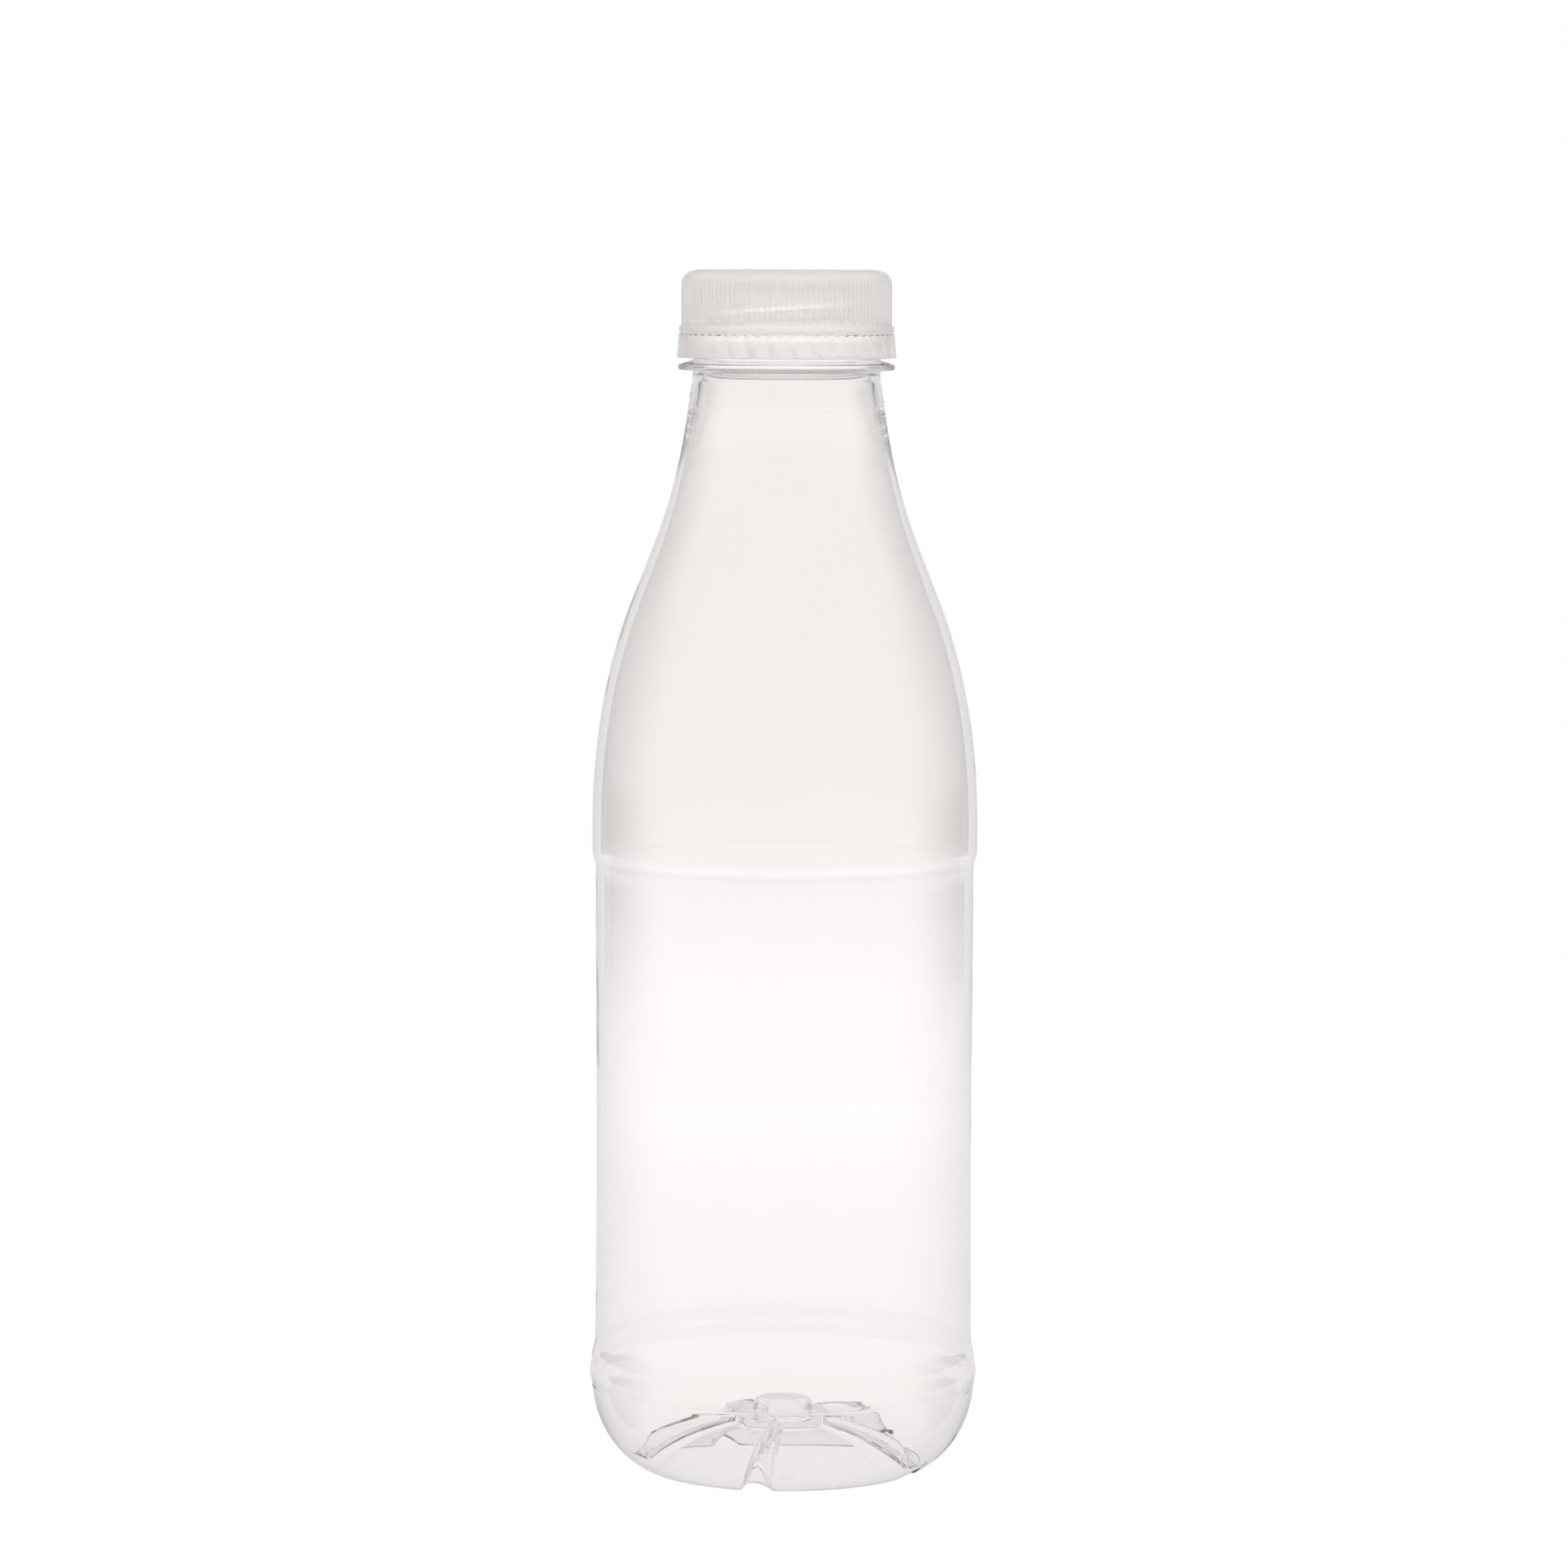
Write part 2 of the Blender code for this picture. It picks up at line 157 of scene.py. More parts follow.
BAND_TOP_RADIUS = 20.84
BAND_BOTTOM_RADIUS = 21.22
BAND_TOP_Z = 220.95
BAND_BOTTOM_Z = 216.6
BAND_THICKNESS = 0.8
BAND_EDGE = 0.1
BRIDGES = 60
BRIDGE_SHARE = 0.25
BRIDGE_FLANK = 0.12
BRIDGE_GAP = 0.02
FLAPS = 30
FLAP_THICKNESS = 0.4
FLAP_ROOT = 0.62
FLAP_REACH = 1.9
FLAP_HEIGHT = 1.9
FLAP_FOOT_Z = 217.0
FLAP_LEAN = 28.0
RIB_REACH = 0.35
RIB_TOP_Z = 220.2
FLAP_FOOT_FADE = 0.12
FLAP_TOP_FADE = 0.4
FLAP_FADE_END = 0.3
RIB_TOP_FADE = 0.3

# How finely the lines are cut up, and how near a line's points and its inner side may come
BOTTLE_SEGMENTS = 220
CAP_SEGMENTS = 720
UPPER_STEPS = 20
LOWER_STEPS = 14
STEP_STEPS = 10
PANEL_STEPS = 3
DOME_STEPS = 20
UNDERSIDE_STEPS = 18
THROAT_STEPS = 15
NECK_STEPS = 2
FINE_STEPS = 3
NECK_CORNER_STEPS = 4
CAP_CORNER_STEPS = 10
SKIRT_SPACING = 0.5
NECK_THREAD_SPACING = 0.3
CAP_THREAD_SPACING = 0.28
FLAP_ROWS = 12
RIB_ROWS = 9
MOST_ROUNDED_SHARE = 0.48
LEAST_WALL_SHARE = 0.97

# The plastics
PET_COLOURS = ((0.98, 0.978, 0.978), (0.988, 0.986, 0.985))
PET_WAVES = {"scale": 70.0, "detail": 1.0, "roughness": 0.4}
PET_SCUFFS = {"scale": 900.0, "detail": 3.0, "roughness": 0.6}
PET_BUMP = (0.02, 0.002)
PET_SCUFFED = (0.55, 0.75)
PET_ROUGHNESS = (0.0, 0.02)
PET_IOR = 1.575
CLOSURE_COLOURS = ((0.955, 0.945, 0.935), (0.975, 0.965, 0.955))
CLOSURE_FLOW = {"scale": 160.0, "detail": 2.0, "roughness": 0.5}
CLOSURE_BUMP = (0.1, 0.0005)
CLOSURE_FLOW_SPAN = (0.3, 0.7)
CLOSURE_ROUGHNESS = (0.16, 0.22)
CLOSURE_IOR = 1.49
CLOSURE_TRANSMISSION = 0.6


def smoothstep(t):
    """0 below 0, 1 above 1, smooth between."""
    t = np.clip(t, 0.0, 1.0)
    return t * t * (3 - 2 * t)


def bell(distance, half_width):
    """1 at the middle, falling off smoothly to both sides."""
    return math.exp(-((distance / half_width) ** 2))


def bezier(start, pull_start, pull_end, end, steps):
    """The points after start of a cubic curve in the plane of radius and height."""
    t = np.linspace(0, 1, steps + 1)[1:, None]
    corners = [np.array(p, float) for p in (start, pull_start, pull_end, end)]
    weights = ((1 - t) ** 3, 3 * t * (1 - t) ** 2, 3 * t * t * (1 - t), t**3)
    return [tuple(p) for p in sum(w * c for w, c in zip(weights, corners))]


def through(points, steps):
    """A smooth line through the points, with so many steps between each two."""
    p = [np.array(q, float) for q in points]
    p = [2 * p[0] - p[1], *p, 2 * p[-1] - p[-2]]
    line = [tuple(p[1])]
    for a, b, c, d in zip(p, p[1:], p[2:], p[3:]):
        line += bezier(b, b + (c - a) / 6, c - (d - b) / 6, c, steps)
    return line


def rounded(corners, steps=5):
    """A line through (radius, height, rounding) corners, each rounded by that much."""
    line = []
    for i, (r, z, rounding) in enumerate(corners):
        here = np.array((r, z))
        if not rounding or i in (0, len(corners) - 1):
            line.append((r, z))
            continue
        before = np.array(corners[i - 1][:2]) - here
        after = np.array(corners[i + 1][:2]) - here
        reach_in = min(rounding, MOST_ROUNDED_SHARE * np.linalg.norm(before))
        reach_out = min(rounding, MOST_ROUNDED_SHARE * np.linalg.norm(after))
        start = here + before / np.linalg.norm(before) * reach_in
        end = here + after / np.linalg.norm(after) * reach_out
        line.append(tuple(start))
        pulls = (start + (here - start) * 2 / 3, end + (here - end) * 2 / 3)
        line += bezier(start, *pulls, end, steps)
    return line


def finer(line, low, high, steps):
    """The line with more points on a smooth curve through it, between those two heights."""
    p = [np.array(q, float) for q in line]
    dense = [line[0]]
    for i in range(1, len(p)):
        b, c = p[i - 1], p[i]
        if not low < (b[1] + c[1]) / 2 < high:
            dense.append(line[i])
            continue
        a, d = p[max(i - 2, 0)], p[min(i + 1, len(p) - 1)]
        dense += bezier(b, b + (c - a) / 6, c - (d - b) / 6, c, steps)
    return dense


def spaced(start, end, step):
    """Evenly spaced points on the straight line between two points, both ends in."""
    count = max(1, math.ceil(math.dist(start, end) / step))
    return [tuple(p) for p in np.linspace(start, end, count + 1)]


def lathe(name, line, angles, shift):
    """A closed solid turned round Z.

    shift(index, angles) gives each row's change of radius, its turn and its change of height.
    """
    line = np.array(line)
    on_axis = line[0][0] < TINY
    first, last = (1, len(line) - 1) if on_axis else (0, len(line))
    count = len(angles)
    rows = []
    for i in range(first, last):
        dr, turn, dz = shift(i, angles)
        r = line[i][0] + dr + np.zeros(count)
        a = angles + turn
        z = line[i][1] + dz + np.zeros(count)
        rows.append(np.stack([r * np.cos(a), r * np.sin(a), z], 1))
    verts = np.concatenate(rows)
    n = len(rows)
    k = np.arange(count)
    nxt = (k + 1) % count
    faces = []
    for i in range(n - 1 if on_axis else n):
        this_row, next_row = i * count, (i + 1) % n * count
        quads = [this_row + k, next_row + k, next_row + nxt, this_row + nxt]
        faces += np.stack(quads, 1).tolist()
    if on_axis:
        top, bottom = len(verts), len(verts) + 1
        verts = np.concatenate([verts, [(0, 0, line[0][1]), (0, 0, line[-1][1])]])
        faces += np.stack([np.full(count, top), k, nxt], 1).tolist()
        last_row = (n - 1) * count
        faces += np.stack([last_row + k, np.full(count, bottom), last_row + nxt], 1).tolist()
    mesh = bpy.data.meshes.new(name)
    mesh.from_pydata((verts * MM).tolist(), [], faces)
    mesh.validate()
    mesh.shade_smooth()
    obj = bpy.data.objects.new(name, mesh)
    bpy.context.scene.collection.objects.link(obj)
    return obj


def thread(z, angles, low_z, first_azimuth):
    """How high the thread stands, from 0 to 1, at a height and at each angle."""
    height = np.zeros(len(angles))
    for start in range(THREAD_STARTS):
        turned = (np.degrees(angles) - first_azimuth - start * 360 / THREAD_STARTS) % 360
        middle = low_z + THREAD_LEAD * turned / 360
        across = 2 - np.abs(z - middle) / THREAD_HALF_WIDTH * 2
        share = turned / THREAD_SWEEP
        fade = smoothstep(5 * np.minimum(share, 1 - share))
        height = np.maximum(height, smoothstep(across) * fade)
    return height


def groove_lift(radius, height, angles):
    """How far the base rises at a place on its line to leave the radial grooves."""
    inner, outer = GROOVE_START[0], GROOVE_END[0]
    share = (radius - inner) / (outer - inner)
    if not 0 < share < 1 or height > CREASE[1]:
        return np.zeros(len(angles))
    roof = GROOVE_START[1] + (GROOVE_END[1] - GROOVE_START[1]) * share**GROOVE_ARCH
    widening = GROOVE_OUTER_HALF_WIDTH - GROOVE_INNER_HALF_WIDTH
    half_width = GROOVE_INNER_HALF_WIDTH + widening * share
    pitch = 360 / GROOVES
    away = (np.degrees(angles) - GROOVE_AZIMUTH + pitch / 2) % pitch - pitch / 2
    sideways = radius * np.radians(away) / half_width
    in_round_end = max(share - GROOVE_ROUND_FROM, 0.0) / (1 - GROOVE_ROUND_FROM)
    across = np.hypot(sideways, in_round_end)
    side = smoothstep((1 - across) / (1 - GROOVE_FLAT_SHARE))
    return max(roof - height, 0.0) * side


def shell_line():
    """The blown wall's outer line, from under the neck down to the centre of the base."""
    line = [SHOULDER_TOP]
    line += bezier(SHOULDER_TOP, *UPPER_PULLS, SHOULDER_MIDDLE, UPPER_STEPS)
    line += bezier(SHOULDER_MIDDLE, *LOWER_PULLS, SHOULDER_FOOT, LOWER_STEPS)
    line += [STEP_TOP]
    line += bezier(STEP_TOP, *STEP_PULLS, STEP_BOTTOM, STEP_STEPS)
    line += through((STEP_BOTTOM,) + PANEL + BULGE + (CREASE,), PANEL_STEPS)[1:]
    foot_edge = (FOOT_RADIUS, 0.0)
    line += bezier(CREASE, DOME_PULL, foot_edge, foot_edge, DOME_STEPS)[:-1]
    foot = [
        (*line[-1], 0),
        (*foot_edge, FOOT_ROUNDING),
        (FOOT_INNER_RADIUS, 0.0, FOOT_ROUNDING),
        (*FOOT_INNER_EDGE, 0),
    ]
    line += rounded(foot, FINE_STEPS)[1:-1]
    inner_foot = (FOOT_INNER_RADIUS, 0.0)
    underside = bezier(inner_foot, *UNDERSIDE_PULLS, PETAL_TOP, UNDERSIDE_STEPS)[1:]
    line += underside[:-1]
    middle = [(*underside[-2], 0)]
    middle += [(*point, BASE_ROUNDING) for point in (PETAL_TOP, *HUB)]
    middle += [(0.0, HUB[-1][1], 0)]
    line += rounded(middle, FINE_STEPS)[1:]
    return line


def wall_at(radius, height):
    """The wall is thin in the blown body, and thicker in the neck and in the hub."""
    if height > BASE_ZONE_TOP_Z or radius > FOOT_RADIUS:
        thicker = smoothstep((height - THIN_WALL_TOP_Z) / (THICK_WALL_Z - THIN_WALL_TOP_Z))
        return WALL + (NECK_WALL - WALL) * thicker**NECK_WALL_GROWTH
    return HUB_WALL + (WALL - HUB_WALL) * radius / FOOT_RADIUS


def inner_line(outside):
    """The wall's inner side: pairs of its point and of the outer point that it lies behind.

    Where the outside turns sharply, inner points that come too near to it are left out.
    """
    points = np.array(outside)
    pairs = []
    for i, point in enumerate(points):
        along = points[min(i + 1, len(points) - 1)] - points[max(i - 1, 0)]
        inward = np.array((along[1], -along[0])) / np.linalg.norm(along)
        if point[0] < TINY:
            inward = np.array((0.0, 1.0))
        wall = wall_at(*point)
        moved = point + inward * wall
        if np.linalg.norm(points - moved, axis=1).min() > LEAST_WALL_SHARE * wall:
            pairs.append((tuple(moved), tuple(point)))
    return pairs


def neck_outside():
    """The neck finish from the top of the throat over the mouth and down to the shoulder."""
    tip_foot = RING_TIP_Z - RING_TIP_THICKNESS
    upper = rounded(
        [
            (BORE_RADIUS, THROAT_TOP_Z, 0),
            (BORE_RADIUS, MOUTH_Z, 0.35),
            (NECK_RADIUS, MOUTH_Z, 0.5),
            (NECK_RADIUS, BEAD_TOP_Z, 0),
        ]
    )
    thread_top = (NECK_RADIUS, THREAD_TOP_Z)
    thread_foot = (NECK_RADIUS, THREAD_BOTTOM_Z)
    thread_zone = spaced(thread_top, thread_foot, NECK_THREAD_SPACING)
    lower = rounded(
        [
            (*thread_foot, 0),
            (NECK_RADIUS, BEAD_TOP_Z, 0.4),
            (BEAD_RADIUS, BEAD_Z, 0.3),
            (BEAD_RADIUS, BEAD_BOTTOM_Z, 0.15),
            (BAND_SEAT_RADIUS, BEAD_BOTTOM_Z, 0.2),
            (BAND_SEAT_RADIUS, RING_TOP_Z, 0.5),
            (RING_RADIUS, RING_TIP_Z, 0.4),
            (RING_RADIUS, tip_foot, 0.4),
            (NECK_BELOW_RING, RING_BOTTOM_Z, 0.4),
            (NECK_BELOW_RING, NECK_FOOT_Z, 0.1),
            (*SHOULDER_TOP, 0),
        ],
        NECK_CORNER_STEPS,
    )
    return upper[:-1] + thread_zone[:-1] + lower[:-1]


def make_bottle():
    """The bottle: one closed wall with its thread, bead, ring, step, crease, grooves and hub."""
    outside = finer(shell_line(), THIN_WALL_TOP_Z, THICK_WALL_Z, NECK_STEPS)
    outside = finer(outside, NECK_LINE_Z - NECK_LINE_ZONE, NECK_LINE_Z + NECK_LINE_ZONE, FINE_STEPS)
    outside = finer(outside, CREASE[1] - CREASE_ZONE, CREASE[1] + CREASE_ZONE, FINE_STEPS)
    pairs = inner_line([p for p in outside if p[1] < INNER_WALL_TOP_Z])
    inside = [p for p, _ in pairs][::-1]
    inside_sources = [p for _, p in pairs][::-1]
    throat_top = (BORE_RADIUS, THROAT_TOP_Z)
    throat = bezier(inside[-1], *THROAT_PULLS, throat_top, THROAT_STEPS)[:-1]
    neck = neck_outside()
    line = inside + throat + neck + outside
    sources = inside_sources + throat + neck + outside
    neck_start = len(inside) + len(throat)
    shell_start = neck_start + len(neck)

    def shift(i, angles):
        r, z = line[i]
        dr = np.zeros(len(angles))
        if neck_start <= i < shell_start and abs(r - NECK_RADIUS) < TINY:
            height = thread(z, angles, THREAD_LOW_Z, THREAD_FIRST_AZIMUTH)
            dr = (THREAD_TIP_RADIUS - NECK_RADIUS) * height
        if i >= shell_start:
            dr += NECK_LINE_HEIGHT * bell(z - NECK_LINE_Z, NECK_LINE_WIDTH)
        if i >= shell_start and r > FOOT_RADIUS:
            dr -= CREASE_DEPTH * bell(z - CREASE[1], CREASE_HALF_WIDTH)
        return dr, 0.0, groove_lift(*sources[i], angles)

    turns = np.arange(BOTTLE_SEGMENTS) * 2 * math.pi / BOTTLE_SEGMENTS
    angles = np.radians(GROOVE_AZIMUTH) + turns
    return lathe("pet_bottle", line, angles, shift)


def make_cap():
    """The screw cap: fine knurls, rounded shoulder, ledge, plug seal and inner thread."""
    top = rounded(
        [
            (0, TOTAL_HEIGHT, 0),
            (CAP_RADIUS, TOTAL_HEIGHT, CAP_CORNER),
            (CAP_RADIUS, CORNER_FOOT_Z, 0),
        ],
        CAP_CORNER_STEPS,
    )
    skirt_foot = (CAP_RADIUS, SKIRT_FOOT_Z)
    skirt = spaced(top[-2], skirt_foot, SKIRT_SPACING)
    groove_top, groove_middle, groove_foot = LEDGE_GROOVE
    thread_foot, thread_top = [(CAP_INNER_RADIUS, z) for z in CAP_INNER_THREAD_Z]
    ledge = rounded(
        [
            (*skirt_foot, 0),
            (CAP_RADIUS, CAP_LEDGE_Z, 0.12),
            (CAP_LEDGE_RADIUS, CAP_LEDGE_Z - CAP_LEDGE_DROP, 0.15),
            (*groove_top, 0.1),
            (*groove_middle, 0.08),
            (*groove_foot, 0.1),
            (groove_foot[0], CAP_BOTTOM_Z, 0.15),
            (CAP_INNER_RADIUS, CAP_BOTTOM_Z, 0.2),
            (*thread_foot, 0),
        ],
        FINE_STEPS,
    )
    inside = spaced(thread_foot, thread_top, CAP_THREAD_SPACING)
    plug = rounded(
        [
            (*thread_top, 0),
            (CAP_INNER_RADIUS, CAP_CEILING_Z, 0.6),
            (PLUG_RADIUS, CAP_CEILING_Z, 0.3),
            (PLUG_RADIUS, PLUG_BOTTOM_Z, 0.3),
            (PLUG_RADIUS - PLUG_THICKNESS, PLUG_BOTTOM_Z, 0.3),
            (PLUG_RADIUS - PLUG_THICKNESS, CAP_CEILING_Z, 0.3),
            (0, CAP_CEILING_Z, 0),
        ],
        FINE_STEPS,
    )
    outside = top[:-2] + skirt[:-1] + ledge[:-1]
    line = outside + inside[:-1] + plug
    inside_start = len(outside)
    inside_end = inside_start + len(inside)
    low_z = THREAD_LOW_Z + THREAD_LEAD * (CAP_THREAD_TURN / 360 - 0.5 / THREAD_STARTS)

    def shift(i, angles):
        r, z = line[i]
        dr = np.zeros(len(angles))
        if i < inside_start and r > CAP_RADIUS - KNURL_REACH_IN:
            top_fade = smoothstep((KNURLS_TOP_Z - z) / KNURL_TOP_FADE)
            foot_fade = smoothstep((z - KNURLS_FOOT_Z) / KNURL_FOOT_FADE)
            valleys = (0.5 + 0.5 * np.cos(KNURLS * angles)) ** KNURL_SHARPNESS
            dr = -KNURL_DEPTH * (top_fade * foot_fade) * valleys
        elif inside_start <= i < inside_end:
            first = THREAD_FIRST_AZIMUTH + CAP_THREAD_TURN
            dr = (CAP_THREAD_TIP_RADIUS - CAP_INNER_RADIUS) * thread(z, angles, low_z, first)
        return dr, 0.0, 0.0

    angles = np.arange(CAP_SEGMENTS) * 2 * math.pi / CAP_SEGMENTS
    return lathe("closure_cap", line, angles, shift)


def make_band():
    """The tamper band: a flared ring with slits and bridges on top and slanted flaps inside."""
    inner_bottom = BAND_BOTTOM_RADIUS - BAND_THICKNESS
    inner_top = BAND_TOP_RADIUS - BAND_THICKNESS
    outer = rounded(
        [
            (inner_top + BAND_EDGE, BAND_TOP_Z, 0),
            (BAND_TOP_RADIUS, BAND_TOP_Z, 0.12),
            (BAND_BOTTOM_RADIUS, BAND_BOTTOM_Z, 0.4),
            (inner_bottom, BAND_BOTTOM_Z, 0.25),
            (inner_bottom, FLAP_FOOT_Z, 0),
        ],
        NECK_CORNER_STEPS,
    )
    top_z = FLAP_FOOT_Z + FLAP_HEIGHT
    flap_rows = np.linspace(FLAP_FOOT_Z + FLAP_FOOT_FADE, top_z, FLAP_ROWS)
    rib_rows = np.linspace(top_z + RIB_TOP_FADE / 2, RIB_TOP_Z + RIB_TOP_FADE / 2, RIB_ROWS)
    inner = []
    for z in (FLAP_FOOT_Z + FLAP_FOOT_FADE / 3, *flap_rows, *rib_rows):
        share = (z - BAND_BOTTOM_Z) / (BAND_TOP_Z - BAND_BOTTOM_Z)
        inner.append((inner_bottom + (inner_top - inner_bottom) * share, z))
    line = outer + inner + [(inner_top, BAND_TOP_Z - BAND_EDGE)]
    inner_start = len(outer)
    bridge_rise = CAP_BOTTOM_Z - BAND_TOP_Z - BRIDGE_GAP

    def shift(i, angles):
        r, z = line[i]
        turn = dr = dz = np.zeros(len(angles))
        k = np.arange(len(angles))
        if z > BAND_TOP_Z - 2 * BAND_EDGE:
            away = np.abs((k * BRIDGES / len(angles) + 0.5) % 1 - 0.5)
            dz = bridge_rise * smoothstep((BRIDGE_SHARE - away) / BRIDGE_FLANK + 0.5)
        if inner_start <= i < inner_start + len(inner):
            turn = turn - math.tan(math.radians(FLAP_LEAN)) * (z - FLAP_FOOT_Z) / r
            below_top = smoothstep((top_z + FLAP_FADE_END - z) / FLAP_TOP_FADE)
            reach = RIB_REACH + (FLAP_REACH - RIB_REACH) * below_top
            pitch = len(angles) // FLAPS
            steps_away = np.abs((k + pitch // 2) % pitch - pitch // 2)
            away = steps_away * 2 * math.pi * r / len(angles)
            side = smoothstep((FLAP_ROOT - away) / (FLAP_ROOT - FLAP_THICKNESS / 2))
            above_foot = smoothstep((z - FLAP_FOOT_Z) / FLAP_FOOT_FADE)
            edge = above_foot * smoothstep((RIB_TOP_Z - z) / RIB_TOP_FADE)
            dr = -reach * side * edge
        return dr, turn, dz

    angles = np.arange(CAP_SEGMENTS) * 2 * math.pi / CAP_SEGMENTS
    return lathe("closure_band", line, angles, shift)


class Nodes:
    """Short calls for building a node tree."""

    def __init__(self, tree):
        self.tree = tree

    def add(self, kind, inputs=None, **settings):
        node = self.tree.nodes.new(kind)
        for key, value in settings.items():
            setattr(node, key, value)
        for key, value in (inputs or {}).items():
            if isinstance(value, bpy.types.NodeSocket):
                self.tree.links.new(value, node.inputs[key])
            else:
                node.inputs[key].default_value = value
        return node

    def math(self, operation, a, b=0.0):
        return self.add("ShaderNodeMath", {0: a, 1: b}, operation=operation).outputs[0]

    def remap(self, value, span, out_low=0.0, out_high=1.0, kind="SMOOTHSTEP"):
        """out_low at the span's first value and out_high at its second."""
        inputs = {"Value": value, "From Min": span[0], "From Max": span[1]}
        inputs.update({"To Min": out_low, "To Max": out_high})
        node = self.add("ShaderNodeMapRange", inputs, interpolation_type=kind)
        return node.outputs["Result"]

    def noise(self, place, scale, detail, roughness):
        inputs = {"Vector": place, "Scale": scale, "Detail": detail, "Roughness": roughness}
        return self.add("ShaderNodeTexNoise", inputs).outputs["Fac"]

    def bump(self, height, strength, distance):
        inputs = {"Height": height, "Strength": strength, "Distance": distance}
        return self.add("ShaderNodeBump", inputs).outputs["Normal"]

    def tint(self, factor, first, second):
        """A surface colour between two."""
        node = self.add("ShaderNodeMix", {"Factor": factor}, data_type="RGBA")
        node.inputs[6].default_value = (*first, 1.0)
        node.inputs[7].default_value = (*second, 1.0)
        return node.outputs[2]

    def mix(self, factor, first, second):
        """The first light where the factor is 0 and the second where it is 1."""
        inputs = {"Factor": factor, 4: first, 5: second}
        return self.add("ShaderNodeMix", inputs, data_type="VECTOR").outputs[1]


def new_material(name):
    """A material with its node helper and its Principled shader."""
    material = bpy.data.materials.new(name)
    material.use_nodes = True
    nodes = Nodes(material.node_tree)
    shader = material.node_tree.nodes["Principled BSDF"]
    return material, nodes, shader


def pet_material():
    """Clear blown PET: glossy, with slow waves and a few faint scuffs."""
    material, nodes, shader = new_material("clear_pet_look")
    place = nodes.add("ShaderNodeTexCoord").outputs["Object"]
    waves = nodes.noise(place, **PET_WAVES)
    scuffs = nodes.noise(place, **PET_SCUFFS)
    colour = nodes.tint(waves, *PET_COLOURS)
    rough = nodes.remap(scuffs, PET_SCUFFED, *PET_ROUGHNESS)
    nodes.tree.links.new(colour, shader.inputs["Base Color"])
    nodes.tree.links.new(rough, shader.inputs["Roughness"])
    nodes.tree.links.new(nodes.bump(waves, *PET_BUMP), shader.inputs["Normal"])
    shader.inputs["IOR"].default_value = PET_IOR
    shader.inputs["Transmission Weight"].default_value = 1.0
    return material


def closure_material():
    """Uncoloured translucent moulded plastic with a satin skin."""
    material, nodes, shader = new_material("natural_closure_look")
    place = nodes.add("ShaderNodeTexCoord").outputs["Object"]
    flow = nodes.noise(place, **CLOSURE_FLOW)
    colour = nodes.tint(flow, *CLOSURE_COLOURS)
    rough = nodes.remap(flow, CLOSURE_FLOW_SPAN, *CLOSURE_ROUGHNESS)
    nodes.tree.links.new(colour, shader.inputs["Base Color"])
    nodes.tree.links.new(rough, shader.inputs["Roughness"])
    nodes.tree.links.new(nodes.bump(flow, *CLOSURE_BUMP), shader.inputs["Normal"])
    shader.inputs["IOR"].default_value = CLOSURE_IOR
    shader.inputs["Transmission Weight"].default_value = CLOSURE_TRANSMISSION
    return material


def dress(obj, material, node):
    """Puts a finished piece in place of its CAD node."""
    obj.data.materials.append(material)
    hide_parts(node)
    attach(obj, "root")


# The camera and the table, in metres, degrees and, for the lens, millimetres
CAMERA_DISTANCE = 1.155
CAMERA_HEIGHT = 0.23549
CAMERA_X = -0.0002
CAMERA_PITCH = 5.0256
CAMERA_ROLL = 0.21
LENS = 136.88
SENSOR_WIDTH = 36.0
NEAREST = 0.05
FARTHEST = 20.0
TABLE_HALF_WIDTH = 0.5

# Where the studio's levels change: heights and Y of the ray's direction, turns in degrees
# from straight behind the bottle, and metres on the table from the bottle's axis
BACKDROP_SPLIT = (-0.13, -0.084)
OVERHEAD_SPLIT = (0.05, 0.12)
OFF_AXIS_START = (0.9, 0.65)
OFF_AXIS_END = (0.1, 0.3)
BACKDROP_EDGE = (35.5, 37.5)
FRONT_EDGE = (58.0, 108.0)
LOW_SIDES_SPLIT = (-0.14, -0.095)
UPPER_FADE = (0.05, 0.7)
OVERHEAD_FADE = (0.3, 0.5)
# Metres from the bottle's axis over which the table's painted shadow and painted shade fade out
UNDER_BOTTLE_SHADOW_EDGE = (0.03, 0.08)
NEAR_MIRRORED_SHADE_EDGE = (0.04, 0.12)
TABLE_SPAN = (0.05, 0.35)
TABLE_END_SPAN = (0.35, 0.5)

# How bright the studio is, seen straight through the bottle and mirrored in it
WHITE = (1.0, 1.0, 1.0)
BACKDROP_UPPER = (0.925, 0.893, 0.862)
BACKDROP_LOWER = (1.055, 1.025, 1.01)
OVERHEAD = (0.97, 0.94, 0.91)
OVERHEAD_MIRRORED = 0.85
OFF_AXIS = (1.25, 1.22, 1.22)
BACKDROP_MIRRORED = 0.7
SIDES_MIRRORED = 0.23
LOW_SIDES_MIRRORED = 0.75
FRONT_MIRRORED = 0.97
UPPER_SHARE = 0.8
TWICE_MIRRORED = (0.88, 0.862, 0.86)
# The table's glow for rays other than the camera's: painted shadow under and near the bottle,
# painted shade at its mirrored sides, and a glow that lights the closure from below
UNDER_BOTTLE_PAINTED_SHADOW = (0.9, 0.87, 0.85)
TABLE_NEAR_PAINTED_SHADOW = (0.93, 0.897, 0.87)
TABLE_FAR = (0.985, 0.952, 0.945)
TABLE_END = (1.045, 1.015, 1.0)
TABLE_BACK_MIRRORED = 0.72
TABLE_SIDES_PAINTED_SHADE = 0.65
TABLE_NEAR_MIRRORED_SHADE = 0.64
TABLE_GLOW_LIGHT = (1.1, 1.08, 1.065)
TABLE_COLOUR = (0.03, 0.03, 0.03, 1.0)
MIRRORED_TINT = (1.0, 0.965, 1.0)
SOFT_LIGHT = 1.1
SOFT_LIGHT_LEAN = (0.0, -0.55, 0.12)
SOFT_TINT = (1.0, 0.975, 0.965)

# How often a light ray may turn, so that the clear walls behind each other stay clear
MOST_BOUNCES = 40
GLOSSY_BOUNCES = 32
DIFFUSE_BOUNCES = 12


